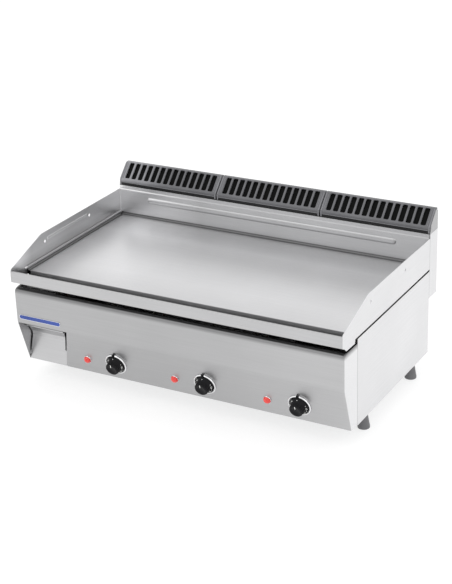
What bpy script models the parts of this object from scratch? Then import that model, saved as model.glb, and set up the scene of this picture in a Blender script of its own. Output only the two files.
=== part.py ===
"""Countertop electric griddle, 900 mm wide, with three heating zones.

Metres, +Z up, +X to the cook's right, -Y towards the cook.
The origin is on the worktop, under the middle of the outer box.
"""
import math

import bmesh
import bpy
from mathutils import Matrix, Vector

# ---------------------------------------------------------------- driving dimensions
HALF_WIDTH = 0.450
DEPTH = 0.558
Y_FRONT = -DEPTH / 2
Y_REAR = DEPTH / 2
SHEET = 0.0015
GAP = 0.0003

# Casing
Z_BASE = 0.048
Z_SIDE_TOP = 0.2688
Y_SIDE_FRONT = -0.200
Y_BODY_REAR = 0.230
INNER_HALF = HALF_WIDTH - SHEET

# Front panel: upright above the kink, leaning back below it
Y_PANEL = Y_FRONT + 0.009
Z_PANEL_TOP = 0.2585
Z_KINK = 0.167
Y_PANEL_FOOT = Y_PANEL + 0.0370
Z_PANEL_FOOT = 0.0505
PANEL_ROUND = 0.009
PANEL_LIP = 0.014
KINK_BEND = 0.040
CHEEK_ROUND = 0.0045

# Splash-back tray on top of the casing
Z_TRAY_FOOT = 0.2742
Z_TRIM_FOOT = 0.278
Z_TRIM_TOP = 0.306
Z_GUARD_TOP = 0.3565
Y_GUARD_KINK = -0.143
Z_GUTTER = 0.266
Y_GUTTER_REAR = -0.2225
HEM = 0.005
GUARD_HOLES = (-0.128, 0.0747)
Z_GUARD_HOLES = 0.332
GUARD_HOLE_RADIUS = 0.004

# Cooking plate
PLATE_HALF = 0.440
PLATE_FRONT = -0.2115
PLATE_REAR = 0.2205
PLATE_TOP = 0.2855
PLATE_THICK = 0.0155
LEDGE_FOOT = 0.422
LEDGE_STEP = 0.2765
LEDGE_TOP = 0.2965
BEAD_HEIGHT = 0.007
BEAD_DEPTH = 0.0038

# Flue at the rear, with three lift-off grilles
Z_FLUE_FOOT = 0.196
Z_FLUE_TOP = 0.367
Z_TOP = 0.421
GRILLE_LIP = 0.0154
GRILLE_WALL = 0.0035
GRILLE_SPLIT = 0.150
GRILLE_JOINT = 0.0025
SLOT_COUNT = 14
SLOT_PITCH = 0.0197
SLOT_WIDTH = 0.0145
SLOT_LENGTH = 0.0473
SLOT_RAISE = 0.0014
SLOT_CORNER = 0.0035

# Controls on the leaning part of the front panel
KNOB_X = (-0.1745, 0.076, 0.3265)
KNOB_HEIGHT = 0.0494
PILOT_OFFSET = -0.085
PILOT_HEIGHT = 0.0429
BEZEL_RADIUS = 0.0295
SKIRT_RADIUS = 0.025
GRIP_RADIUS = 0.0165
KNOB_TOP = 0.024
SHAFT_RADIUS = 0.003
PILOT_RADIUS = 0.0102

# Grease drawer at the left
DRAWER_LEFT = -0.4455
DRAWER_RIGHT = -0.3318
DRAWER_FOOT_RIGHT = -0.3350
RECESS_RIGHT = -0.3323
RECESS_TOP_RIGHT = -0.3015
PAN_LEFT = -0.4172
PAN_RIGHT = -0.348
PAN_FOOT = 0.0540
PAN_TOP = 0.095
PAN_LENGTH = 0.360
DRAIN_X = -0.383
DRAIN_Y = -0.237
DRAIN_RADIUS = 0.0125
DRAIN_FLANGE = 0.006

# Feet
FOOT_X = 0.430
FOOT_Y = (-0.119, 0.168)
FOOT_RADIUS = 0.015
STEM_RADIUS = 0.005

# Heating
ZONE_X = (-0.28, 0.0, 0.28)
ELEMENT_RADIUS = 0.0042
LEG_PITCH = 0.055
LEG_REACH = 0.160
Z_ELEMENT = PLATE_TOP - PLATE_THICK - GAP - ELEMENT_RADIUS
BOARD_THICK = 0.025

# Cable entry in the rear panel
GLAND_X = 0.300
GLAND_Z = 0.100

SIDES = ("left", "centre", "right")

# Directions of the leaning part of the front panel
PANEL_UP = Vector((0, Y_PANEL - Y_PANEL_FOOT, Z_KINK - Z_PANEL_FOOT)).normalized()
PANEL_OUT = Vector((0, -PANEL_UP.z, PANEL_UP.y))

STEEL = ("stainless", (0.62, 0.62, 0.63), 0.32, 1.0)
PLATE_STEEL = ("ground_plate", (0.55, 0.55, 0.56), 0.38, 1.0)
GALVANISED = ("galvanised", (0.50, 0.51, 0.52), 0.45, 1.0)
DARK_ENAMEL = ("dark_enamel", (0.06, 0.06, 0.065), 0.42, 0.0)
CHROME = ("chrome", (0.85, 0.85, 0.86), 0.08, 1.0)
BLACK_PLASTIC = ("black_plastic", (0.012, 0.012, 0.013), 0.35, 0.0)
RED_LENS = ("red_lens", (0.75, 0.02, 0.01), 0.12, 0.0)
FOOT_PLASTIC = ("foot_plastic", (0.035, 0.035, 0.04), 0.5, 0.0)
ELEMENT_SHEATH = ("element_sheath", (0.20, 0.21, 0.19), 0.5, 1.0)
COPPER = ("copper", (0.72, 0.38, 0.24), 0.3, 1.0)
BOARD = ("fibre_board", (0.72, 0.70, 0.66), 0.9, 0.0)
PALE_PLASTIC = ("pale_plastic", (0.75, 0.74, 0.70), 0.45, 0.0)
CABLE_GREY = ("cable_grey", (0.12, 0.12, 0.13), 0.6, 0.0)
BADGE_BLUE = ("badge_blue", (0.03, 0.07, 0.32), 0.35, 0.0)


# ---------------------------------------------------------------- scene helpers
def clear_scene():
    for obj in list(bpy.data.objects):
        bpy.data.objects.remove(obj)


def new_collection(name):
    collection = bpy.data.collections.new(name)
    bpy.context.scene.collection.children.link(collection)
    return collection


clear_scene()
PARTS = new_collection("flat_top_griddle")
CUTTERS = new_collection("cutters")


def material(spec):
    name, colour, roughness, metallic = spec
    found = bpy.data.materials.get(name)
    if found:
        return found
    mat = bpy.data.materials.new(name)
    mat.use_nodes = True
    shader = mat.node_tree.nodes["Principled BSDF"]
    shader.inputs["Base Color"].default_value = (*colour, 1.0)
    shader.inputs["Roughness"].default_value = roughness
    shader.inputs["Metallic"].default_value = metallic
    return mat


def part(name, mesh, spec, matrix=None):
    """Put a mesh in the scene as one named sub-part."""
    obj = bpy.data.objects.new(name, mesh)
    obj.data.materials.clear()
    obj.data.materials.append(material(spec))
    if matrix is not None:
        obj.matrix_world = matrix
    PARTS.objects.link(obj)
    return obj


def cutter(name, mesh, matrix=None):
    """Put a mesh in the scene as a tool that other shapes are cut with."""
    obj = bpy.data.objects.new(name, mesh)
    obj.hide_render = True
    obj.display_type = "WIRE"
    if matrix is not None:
        obj.matrix_world = matrix
    CUTTERS.objects.link(obj)
    return obj


def cut(obj, tool, operation="DIFFERENCE"):
    modifier = obj.modifiers.new(tool.name, "BOOLEAN")
    modifier.operation = operation
    modifier.solver = "EXACT"
    modifier.object = tool


def smooth(obj, degrees=35):
    obj.data.shade_smooth()
    obj.data.set_sharp_from_angle(angle=math.radians(degrees))


def bevel(obj, width, segments=2, degrees=40):
    modifier = obj.modifiers.new("rounding", "BEVEL")
    modifier.width = width
    modifier.segments = segments
    modifier.limit_method = "ANGLE"
    modifier.angle_limit = math.radians(degrees)


def bmesh_to_mesh(name, bm):
    bmesh.ops.recalc_face_normals(bm, faces=bm.faces)
    mesh = bpy.data.meshes.new(name)
    bm.to_mesh(mesh)
    bm.free()
    return mesh


# ---------------------------------------------------------------- shape helpers
def add_box(bm, low, high):
    low, high = Vector(low), Vector(high)
    place = Matrix.Translation((low + high) / 2) @ Matrix.Diagonal((*(high - low), 1))
    bmesh.ops.create_cube(bm, size=1, matrix=place)


def boxes(name, corners):
    bm = bmesh.new()
    for low, high in corners:
        add_box(bm, low, high)
    return bmesh_to_mesh(name, bm)


def add_rod(bm, start, end, radius, sides=16):
    start, end = Vector(start), Vector(end)
    turn = (end - start).to_track_quat("Z", "Y").to_matrix().to_4x4()
    place = Matrix.Translation((start + end) / 2) @ turn
    bmesh.ops.create_cone(
        bm, cap_ends=True, segments=sides, radius1=radius, radius2=radius,
        depth=(end - start).length, matrix=place)


def rods(name, spans, radius, sides=16):
    bm = bmesh.new()
    for start, end in spans:
        add_rod(bm, start, end, radius, sides)
    return bmesh_to_mesh(name, bm)


ALONG_X = Matrix(((0, 0, 1, 0), (1, 0, 0, 0), (0, 1, 0, 0), (0, 0, 0, 1)))
ALONG_Y = Matrix(((1, 0, 0, 0), (0, 0, -1, 0), (0, 1, 0, 0), (0, 0, 0, 1)))
ALONG_Z = Matrix.Identity(4)


def curve_to_mesh(name, curve, matrix):
    """Turn a curve into a welded mesh that keeps the curve's place."""
    holder = bpy.data.objects.new(name, curve)
    CUTTERS.objects.link(holder)
    holder.matrix_world = matrix
    bpy.context.view_layer.update()
    graph = bpy.context.evaluated_depsgraph_get()
    mesh = bpy.data.meshes.new_from_object(holder.evaluated_get(graph))
    bpy.data.objects.remove(holder)
    bm = bmesh.new()
    bm.from_mesh(mesh)
    bmesh.ops.remove_doubles(bm, verts=bm.verts, dist=1e-6)
    bmesh.ops.recalc_face_normals(bm, faces=bm.faces)
    bm.to_mesh(mesh)
    bm.free()
    mesh.name = name
    return mesh


def outline_mesh(name, outlines, start, end, direction):
    """Extrude flat outlines (holes included) from start to end along direction."""
    curve = bpy.data.curves.new(name, "CURVE")
    curve.dimensions = "2D"
    curve.fill_mode = "BOTH"
    curve.extrude = abs(end - start) / 2
    for outline in outlines:
        spline = curve.splines.new("POLY")
        spline.points.add(len(outline) - 1)
        for point, (a, b) in zip(spline.points, outline):
            point.co = (a, b, 0, 1)
        spline.use_cyclic_u = True
    middle = direction.to_3x3() @ Vector((0, 0, (start + end) / 2))
    if direction is ALONG_Y:
        middle = -middle
    return curve_to_mesh(name, curve, direction), Matrix.Translation(middle) @ direction


def outline_part(name, outlines, start, end, direction, spec):
    mesh, place = outline_mesh(name, outlines, start, end, direction)
    return part(name, mesh, spec, place)


def outline_cutter(name, outlines, start, end, direction):
    mesh, place = outline_mesh(name, outlines, start, end, direction)
    return cutter(name, mesh, place)


def circle(centre, radius, sides=16):
    a, b = centre
    turns = [math.tau * i / sides for i in range(sides)]
    return [(a + radius * math.cos(t), b + radius * math.sin(t)) for t in turns]


def arc(centre, radius, start, end, steps=4):
    """Points on an arc, angles in degrees, end point included."""
    a, b = centre
    turns = [math.radians(start + (end - start) * i / steps) for i in range(steps + 1)]
    return [(a + radius * math.cos(t), b + radius * math.sin(t)) for t in turns]


def rectangle(low, high):
    (a0, b0), (a1, b1) = low, high
    return [(a0, b0), (a1, b0), (a1, b1), (a0, b1)]


def folded(name, profile, start, end, direction, spec, thickness=SHEET):
    """Fold a sheet along a profile: an open ribbon, thickened to its right side."""
    bm = bmesh.new()
    verts = [bm.verts.new((a, b, start)) for a, b in profile]
    edges = [bm.edges.new(pair) for pair in zip(verts, verts[1:])]
    grown = bmesh.ops.extrude_edge_only(bm, edges=edges)["geom"]
    moved = [item for item in grown if isinstance(item, bmesh.types.BMVert)]
    bmesh.ops.translate(bm, verts=moved, vec=(0, 0, end - start))
    mesh = bpy.data.meshes.new(name)
    bm.to_mesh(mesh)
    bm.free()
    obj = part(name, mesh, spec, direction)
    shell = obj.modifiers.new("thickness", "SOLIDIFY")
    shell.thickness = thickness
    shell.offset = -1
    shell.use_even_offset = True
    return obj


def turned(name, profile, spec, matrix=None, steps=24):
    """Turn a profile of (radius, height) points, listed from the top down."""
    mesh = bpy.data.meshes.new(name)
    points = [(radius, 0, height) for radius, height in profile]
    edges = [(i, i + 1) for i in range(len(points) - 1)]
    mesh.from_pydata(points, edges, [])
    obj = part(name, mesh, spec, matrix)
    screw = obj.modifiers.new("turn", "SCREW")
    screw.steps = steps
    screw.render_steps = steps
    screw.use_merge_vertices = True
    screw.merge_threshold = 1e-5
    screw.use_smooth_shade = True
    return obj


def tube_mesh(name, path, radius, widths=None):
    """A round tube along a path, with an optional width factor at each point."""
    curve = bpy.data.curves.new(name, "CURVE")
    curve.dimensions = "3D"
    curve.bevel_depth = radius
    curve.bevel_resolution = 2
    curve.use_fill_caps = True
    spline = curve.splines.new("POLY")
    spline.points.add(len(path) - 1)
    for i, (point, place) in enumerate(zip(spline.points, path)):
        point.co = (*place, 1)
        point.radius = widths[i] if widths else 1.0
    return curve_to_mesh(name, curve, Matrix.Identity(4))


def panel_point(x, height, out=0.0):
    """A point on the leaning panel, measured up from its foot and out of its face."""
    foot = Vector((x, Y_PANEL_FOOT, Z_PANEL_FOOT))
    return foot + PANEL_UP * height + PANEL_OUT * out


def panel_frame(x, height, out=0.0):
    """A frame on the leaning panel whose Z axis points out of its face."""
    across = PANEL_UP.cross(PANEL_OUT)
    turn = Matrix((across, PANEL_UP, PANEL_OUT)).transposed().to_4x4()
    return Matrix.Translation(panel_point(x, height, out)) @ turn


# ---------------------------------------------------------------- casing
def side_panels():
    for side, sign in (("left", -1), ("right", 1)):
        outer = [
            (sign * HALF_WIDTH, Z_SIDE_TOP),
            (sign * HALF_WIDTH, Z_BASE),
            (sign * (HALF_WIDTH - 0.008), Z_BASE),
        ]
        if sign < 0:
            outer.reverse()
        start, end = -(Y_BODY_REAR - GAP), -(Y_SIDE_FRONT + GAP)
        folded("side_panel_" + side, outer, start, end, ALONG_Y, STEEL)


def foot_places():
    return [(x, y) for y in FOOT_Y for x in (-FOOT_X, FOOT_X)]


def base_pan():
    sheet = [rectangle((-INNER_HALF + GAP, Y_SIDE_FRONT + GAP), (INNER_HALF - GAP, 0.228))]
    for place in foot_places():
        sheet.append(circle(place, STEM_RADIUS + 0.0008, 12))
    vent_x = [-0.25 + 0.05 * i for i in range(13)]
    for x in vent_x:
        for y in (-0.06, 0.06):
            sheet.append(rectangle((x - 0.004, y - 0.03), (x + 0.004, y + 0.03)))
    low = Z_BASE + SHEET + GAP
    outline_part("base_pan", sheet, low, low + SHEET, ALONG_Z, GALVANISED)


def back_panel():
    half = INNER_HALF - GAP
    sheet = [rectangle((-half, 0.0517), (half, 0.215))]
    sheet.append(circle((GLAND_X, GLAND_Z), 0.0105, 16))
    for x in [-0.30 + 0.04 * i for i in range(12)]:
        sheet.append(rectangle((x - 0.011, 0.150), (x + 0.011, 0.155)))
        sheet.append(rectangle((x - 0.011, 0.165), (x + 0.011, 0.170)))
    outline_part("back_panel", sheet, Y_BODY_REAR - GAP - SHEET, Y_BODY_REAR - GAP, ALONG_Y, STEEL)


def panel_section(inset, rear, foot):
    """The front panel's section, drawn inset from its outer face."""
    top = Z_PANEL_TOP - inset
    face = Y_PANEL + inset
    radius = PANEL_ROUND - inset
    lean = (Y_PANEL_FOOT - Y_PANEL) / (Z_KINK - Z_PANEL_FOOT)
    slant = math.hypot(1, lean)
    turn = math.atan(lean)
    foot_y = Y_PANEL_FOOT + inset * slant - (foot - Z_PANEL_FOOT) * lean
    bend = KINK_BEND - inset
    bend_z = Z_KINK + inset * (slant - 1) / lean + bend * math.tan(turn / 2)
    points = [(rear, top)]
    points += arc((face + radius, top - radius), radius, 90, 180)
    points += arc((face + bend, bend_z), bend, 180, 180 + math.degrees(turn), 5)
    points += [(foot_y, foot), (rear, foot)]
    return points


def round_cheek_edges(obj, radius):
    """Round the edges where the panel's face turns into its cheeks."""
    mesh = obj.data
    weights = mesh.attributes.new("bevel_weight_edge", "FLOAT", "EDGE")
    for edge in mesh.edges:
        a, b = (mesh.vertices[i].co for i in edge.vertices)
        at_end = abs(a.z - b.z) < 1e-6
        on_face = max(a.x, b.x) < Y_PANEL_FOOT + 2 * SHEET
        weights.data[edge.index].value = 1.0 if at_end and on_face else 0.0
    modifier = obj.modifiers.new("rounding", "BEVEL")
    modifier.width = radius
    modifier.segments = 4
    modifier.limit_method = "WEIGHT"


def front_panel():
    rear = Y_SIDE_FRONT
    panel = outline_part(
        "front_panel", [panel_section(0.0, rear, Z_PANEL_FOOT)],
        -HALF_WIDTH, HALF_WIDTH, ALONG_X, STEEL)
    round_cheek_edges(panel, CHEEK_ROUND)
    hollow = outline_cutter(
        "panel_hollow", [panel_section(SHEET, rear + 0.02, Z_PANEL_FOOT + SHEET)],
        -INNER_HALF, INNER_HALF, ALONG_X)
    round_cheek_edges(hollow, CHEEK_ROUND - SHEET)
    cut(panel, hollow)
    lip = cutter("panel_lip_cut", boxes("panel_lip_cut", [(
        (-INNER_HALF + 0.005, Y_PANEL + PANEL_LIP, Z_PANEL_TOP - 0.004),
        (INNER_HALF - 0.005, rear + 0.01, Z_PANEL_TOP + 0.004))]))
    cut(panel, lip)
    recess = outline_cutter("drawer_recess", [[
        (DRAWER_LEFT - 0.0008, 0.040), (RECESS_RIGHT, 0.040),
        (RECESS_RIGHT, 0.060), (RECESS_TOP_RIGHT, Z_KINK - 0.0015),
        (DRAWER_LEFT - 0.0008, Z_KINK - 0.0015),
    ]], -0.30, -0.15, ALONG_Y)
    cut(panel, recess)
    spans = []
    for x in KNOB_X:
        spans.append((panel_point(x, KNOB_HEIGHT, 0.01), panel_point(x, KNOB_HEIGHT, -0.01)))
    cut(panel, cutter("shaft_holes", rods("shaft_holes", spans, 0.0055, 16)))
    spans = []
    for x in KNOB_X:
        lamp = x + PILOT_OFFSET
        spans.append((panel_point(lamp, PILOT_HEIGHT, 0.01), panel_point(lamp, PILOT_HEIGHT, -0.01)))
    cut(panel, cutter("pilot_holes", rods("pilot_holes", spans, 0.0062, 16)))


# ---------------------------------------------------------------- tray with splash guards
def front_trim():
    profile = [
        (Y_FRONT + 0.010, Z_TRIM_FOOT),
        (Y_FRONT, Z_TRIM_FOOT),
        (Y_FRONT, Z_TRIM_TOP),
        (Y_FRONT + HEM, Z_TRIM_TOP),
        (Y_FRONT + HEM, Z_TRIM_TOP - 0.013),
        (-0.250, Z_GUTTER),
        (Y_GUTTER_REAR, Z_GUTTER),
        (Y_GUTTER_REAR, Z_GUTTER + 0.0022),
        (PLATE_FRONT - 0.0015, Z_GUTTER + 0.0032),
    ]
    half = INNER_HALF - GAP
    trim = folded("front_trim", profile, -half, half, ALONG_X, STEEL, 0.0012)
    hole = rods("gutter_hole", [((DRAIN_X, DRAIN_Y, 0.25), (DRAIN_X, DRAIN_Y, 0.28))], 0.0105, 16)
    cut(trim, cutter("gutter_hole", hole))


def guard_outline(flap):
    return flap + [
        (Y_FRONT, Z_TRIM_FOOT),
        (Y_FRONT, Z_TRIM_TOP + 0.001),
        (Y_FRONT + 0.0012, Z_TRIM_TOP + 0.0038),
        (Y_FRONT + 0.0040, Z_TRIM_TOP + 0.0060),
        (Y_GUARD_KINK - 0.004, Z_GUARD_TOP - 0.0018),
        (Y_GUARD_KINK + 0.004, Z_GUARD_TOP),
        (Y_BODY_REAR - GAP, Z_GUARD_TOP),
        (Y_BODY_REAR - GAP, Z_TRAY_FOOT),
        (-0.213, Z_TRAY_FOOT),
    ]


def splash_guards():
    holes = [circle((y, Z_GUARD_HOLES), GUARD_HOLE_RADIUS, 12) for y in GUARD_HOLES]
    left_flap = [(-0.2145, 0.2645), (-0.250, 0.2645)]
    right_flap = [(-0.2145, 0.2640), (-0.2600, 0.2650), (-0.2700, 0.2735)]
    for side, low, flap in (("left", -HALF_WIDTH, left_flap), ("right", INNER_HALF, right_flap)):
        outlines = [guard_outline(flap)] + holes
        outline_part("splash_guard_" + side, outlines, low, low + SHEET, ALONG_X, STEEL)


def rear_splash():
    """The rear wall of the tray, stepped back at the top to meet the flue grilles."""
    half = INNER_HALF - GAP
    face = 0.2265
    step = face + 0.0022
    top = Z_FLUE_TOP - GAP
    profile = [
        (face, Z_TRAY_FOOT), (face, Z_GUARD_TOP - 0.0010), (step, Z_GUARD_TOP + 0.0012),
        (step, top), (step + 0.010, top),
    ]
    folded("rear_splash", profile, -half, half, ALONG_X, STEEL, 0.0010)


def griddle_plate():
    low = (-PLATE_HALF, PLATE_FRONT, PLATE_TOP - PLATE_THICK)
    high = (PLATE_HALF, PLATE_REAR, PLATE_TOP)
    plate = part("griddle_plate", boxes("griddle_plate", [(low, high)]), PLATE_STEEL)
    bevel(plate, 0.0012, 2)


def side_ledges():
    """Strips between plate and guards: a foot under the plate's edge, and a bead on the guard."""
    outer = INNER_HALF - GAP
    inner = outer - SHEET
    step = 0.0037
    seat = PLATE_TOP - PLATE_THICK - GAP
    middle = LEDGE_TOP - BEAD_HEIGHT / 2
    section = [
        (LEDGE_FOOT, seat - SHEET), (outer - step, seat - SHEET),
        (outer - step, LEDGE_STEP - SHEET), (outer, LEDGE_STEP), (outer, LEDGE_TOP),
    ]
    for t in [math.radians(90 + 22.5 * i) for i in range(9)]:
        section.append((inner + (BEAD_DEPTH - SHEET) * math.cos(t),
                        middle + BEAD_HEIGHT / 2 * math.sin(t)))
    section += [(inner, LEDGE_STEP + 0.0005), (inner - step, LEDGE_STEP - SHEET + 0.0005),
                (inner - step, seat), (LEDGE_FOOT, seat)]
    mirrored = [(-x, z) for x, z in reversed(section)]
    start, end = PLATE_FRONT - 0.0008, 0.2262
    outline_part("side_ledge_left", [mirrored], start, end, ALONG_Y, STEEL)
    outline_part("side_ledge_right", [section], start, end, ALONG_Y, STEEL)


# ---------------------------------------------------------------- flue and grilles
def flue_box():
    half = INNER_HALF - GAP
    front, rear = Y_BODY_REAR, Y_REAR
    shell = [
        (front, Z_FLUE_FOOT), (rear, Z_FLUE_FOOT),
        (rear, Z_FLUE_TOP - GAP), (rear - 0.008, Z_FLUE_TOP - GAP),
    ]
    shell.reverse()
    folded("flue_back", shell, -half, half, ALONG_X, STEEL)
    end = [rectangle((front, Z_FLUE_FOOT), (rear, Z_FLUE_TOP - GAP))]
    for side, low in (("left", -HALF_WIDTH), ("right", INNER_HALF)):
        outline_part("flue_end_" + side, end, low, low + SHEET, ALONG_X, STEEL)
        outline_part("grille_cap_" + side, [grille_cap_outline()], low, low + SHEET, ALONG_X, STEEL)


def grille_cap_outline():
    foot = Z_FLUE_TOP
    return [
        (Y_BODY_REAR + 0.0005, foot), (Y_REAR - 0.0005, foot),
        (Y_REAR - 0.0005, Z_TOP - 0.0065), (Y_REAR - 0.011, Z_TOP - 0.0020),
        (Y_BODY_REAR + 0.0050, foot + 0.0185),
    ]


def grille_section(wall):
    """The grille's section: front lip, face leaning at 45 degrees and a flat top."""
    front, rear = Y_BODY_REAR + wall, Y_REAR - 0.0015 - wall
    foot = Z_FLUE_TOP if wall == 0 else Z_FLUE_TOP - 0.01
    corner = wall * math.tan(math.radians(22.5))
    lip = Z_FLUE_TOP + GRILLE_LIP - corner
    top = Z_TOP - wall
    return [(front, foot), (front, lip), (front + top - lip, top), (rear, top), (rear, foot)]


def slot_outlines(centre):
    """Slots with rounded corners, drawn in the plane of the leaning face."""
    radius = SLOT_CORNER
    side = SLOT_WIDTH / 2 - radius
    reach = SLOT_LENGTH / 2 - radius
    outlines = []
    for i in range(SLOT_COUNT):
        x = centre + SLOT_PITCH * (i - (SLOT_COUNT - 1) / 2)
        upper = arc((x + side, reach), radius, 0, 90, 3) + arc((x - side, reach), radius, 90, 180, 3)
        lower = arc((x - side, -reach), radius, 180, 270, 3) + arc((x + side, -reach), radius, 270, 360, 3)
        outlines.append(upper + lower)
    return outlines


def flue_grilles():
    face_low = Vector((0, Y_BODY_REAR, Z_FLUE_TOP + GRILLE_LIP))
    rise = Z_TOP - Z_FLUE_TOP - GRILLE_LIP
    face_mid = face_low + Vector((0, rise / 2 + SLOT_RAISE, rise / 2 + SLOT_RAISE))
    lean = Matrix.Translation(face_mid) @ Matrix.Rotation(math.radians(45), 4, "X")
    edges = (-HALF_WIDTH + SHEET + GAP, -GRILLE_SPLIT, GRILLE_SPLIT, HALF_WIDTH - SHEET - GAP)
    for i, side in enumerate(SIDES):
        name = "flue_grille_" + side
        start = edges[i] + (GRILLE_JOINT / 2 if i > 0 else 0)
        end = edges[i + 1] - (GRILLE_JOINT / 2 if i < 2 else 0)
        grille = outline_part(name, [grille_section(0)], start, end, ALONG_X, DARK_ENAMEL)
        inside = outline_cutter(
            name + "_hollow", [grille_section(GRILLE_WALL)],
            start + GRILLE_WALL, end - GRILLE_WALL, ALONG_X)
        cut(grille, inside)
        slots, _ = outline_mesh(
            name + "_slots", slot_outlines((start + end) / 2), -0.01, 0.01, ALONG_Z)
        cut(grille, cutter(name + "_slots", slots, lean))


# ---------------------------------------------------------------- controls
def knob_profile():
    return [
        (0.0, KNOB_TOP), (GRIP_RADIUS - 0.003, KNOB_TOP), (GRIP_RADIUS - 0.001, KNOB_TOP - 0.0015),
        (GRIP_RADIUS, KNOB_TOP - 0.004), (GRIP_RADIUS + 0.001, 0.0095),
        (SKIRT_RADIUS - 0.0015, 0.0072), (SKIRT_RADIUS, 0.0060), (SKIRT_RADIUS, 0.0045),
        (SHAFT_RADIUS + 0.0004, 0.0045), (SHAFT_RADIUS + 0.0004, 0.018), (0.0, 0.018),
    ]


def bezel_profile():
    return [
        (0.0060, 0.0022), (BEZEL_RADIUS - 0.0042, 0.0022), (BEZEL_RADIUS - 0.0036, 0.0038),
        (BEZEL_RADIUS - 0.0018, 0.0044), (BEZEL_RADIUS - 0.0004, 0.0036),
        (BEZEL_RADIUS, 0.0018), (BEZEL_RADIUS, GAP), (0.0060, GAP), (0.0060, 0.0022),
    ]


def pilot_profile():
    """A pilot lamp: domed lens, flange, and a barrel with its nut behind the panel."""
    radius = PILOT_RADIUS
    dome = [(radius * 0.90 * math.sin(t), 0.0020 + 0.0074 * math.cos(t))
            for t in [math.radians(15 * i) for i in range(7)]]
    return dome + [
        (radius, 0.0018), (radius, GAP), (0.0058, GAP), (0.0058, -0.0019), (0.0085, -0.0019),
        (0.0085, -0.0060), (0.0058, -0.0060), (0.0058, -0.0260), (0.0, -0.0260),
    ]


def controls():
    for side, x in zip(SIDES, KNOB_X):
        frame = panel_frame(x, KNOB_HEIGHT)
        turned("knob_" + side, knob_profile(), BLACK_PLASTIC, frame, 28)
        turned("knob_bezel_" + side, bezel_profile(), CHROME, frame, 28)
        shaft = rods("shaft", [((0, 0, -0.0060), (0, 0, 0.0175))], SHAFT_RADIUS, 12)
        part("thermostat_shaft_" + side, shaft, GALVANISED, frame)
        body = boxes("thermostat", [((-0.021, -0.021, -0.0400), (0.021, 0.021, -0.0065))])
        body_obj = part("thermostat_" + side, body, PALE_PLASTIC, frame)
        bevel(body_obj, 0.002, 1)
        lamp = panel_frame(x + PILOT_OFFSET, PILOT_HEIGHT)
        turned("pilot_lamp_" + side, pilot_profile(), RED_LENS, lamp, 20)


def badge():
    """A blank name plate on the upright part of the front panel."""
    front = Y_PANEL - GAP
    half_height = 0.0055
    left, right = -0.440, -0.318
    middle = 0.1835
    outline = arc((right - half_height, middle), half_height, -90, 90, 6)
    outline += arc((left + half_height, middle), half_height, 90, 270, 6)
    outline_part("badge", [outline], front - 0.0008, front, ALONG_Y, BADGE_BLUE)


# ---------------------------------------------------------------- grease drawer and drain
def grease_drawer():
    profile = [
        (-0.2160, 0.0510), (-0.2332, 0.0510), (-0.2155, 0.1110),
        (-0.2175, 0.1215), (-0.2268, 0.1350), (-0.2388, 0.1462),
    ]
    front = folded("drawer_front", profile, DRAWER_LEFT, DRAWER_RIGHT, ALONG_X, STEEL, 0.0012)
    clearance = outline_cutter("drawer_clearance", [[
        (DRAWER_RIGHT, 0.150), (DRAWER_RIGHT, 0.145), (-0.3394, 0.1350), (-0.3448, 0.1215),
        (-0.3464, 0.1110), (-0.3436, 0.0880), (DRAWER_FOOT_RIGHT, 0.0860),
        (DRAWER_FOOT_RIGHT, 0.040), (DRAWER_RIGHT + 0.010, 0.040), (DRAWER_RIGHT + 0.010, 0.150),
    ]], -0.30, -0.15, ALONG_Y)
    cut(front, clearance)
    pan_front = -0.2100
    bm = bmesh.new()
    add_box(bm, (PAN_LEFT, pan_front, PAN_FOOT), (PAN_RIGHT, pan_front + PAN_LENGTH, PAN_TOP))
    lid = [face for face in bm.faces if face.calc_center_median().z > PAN_TOP - 0.001]
    bmesh.ops.delete(bm, geom=lid, context="FACES_ONLY")
    mesh = bpy.data.meshes.new("drawer_pan")
    bm.to_mesh(mesh)
    bm.free()
    pan = part("drawer_pan", mesh, STEEL)
    shell = pan.modifiers.new("thickness", "SOLIDIFY")
    shell.thickness = 0.0012
    shell.offset = -1
    shell.use_even_offset = True
    floor = Z_BASE + 2 * SHEET + 2 * GAP
    left, right = PAN_LEFT - 0.0022, PAN_RIGHT + 0.0022
    left_section = [(left + 0.011, floor), (left, floor), (left, floor + 0.012)]
    right_section = [(right, floor + 0.012), (right, floor), (right - 0.011, floor)]
    start, end = -0.190, 0.196
    folded("drawer_runner_left", left_section, start, end, ALONG_Y, GALVANISED, 0.0012)
    folded("drawer_runner_right", right_section, start, end, ALONG_Y, GALVANISED, 0.0012)


def drain():
    """A flanged pipe from the gutter's hole down to the grease drawer."""
    top = Z_GUTTER - 0.0012 - GAP
    flange, place = outline_mesh("drain_pipe", [
        rectangle((DRAIN_X - 0.0410, -0.2490), (DRAIN_X + 0.0410, -0.2240)),
        circle((DRAIN_X, DRAIN_Y), DRAIN_RADIUS - 0.0012, 16),
    ], top - DRAIN_FLANGE, top, ALONG_Z)
    pipe = part("drain_pipe", flange, STEEL, place)
    path = [(DRAIN_Y, top - 0.002), (DRAIN_Y, 0.228), (-0.230, 0.216),
            (-0.200, 0.160), (-0.193, 0.146), (-0.193, 0.104)]
    curve = bpy.data.curves.new("drain_bend", "CURVE")
    curve.dimensions = "3D"
    curve.bevel_depth = DRAIN_RADIUS
    curve.bevel_resolution = 2
    spline = curve.splines.new("POLY")
    spline.points.add(len(path) - 1)
    for point, (y, z) in zip(spline.points, path):
        point.co = (DRAIN_X, y, z, 1)
    bend = cutter("drain_bend", curve_to_mesh("drain_bend", curve, Matrix.Identity(4)))
    shell = bend.modifiers.new("thickness", "SOLIDIFY")
    shell.thickness = 0.0015
    shell.offset = -1
    cut(pipe, bend, "UNION")


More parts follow.
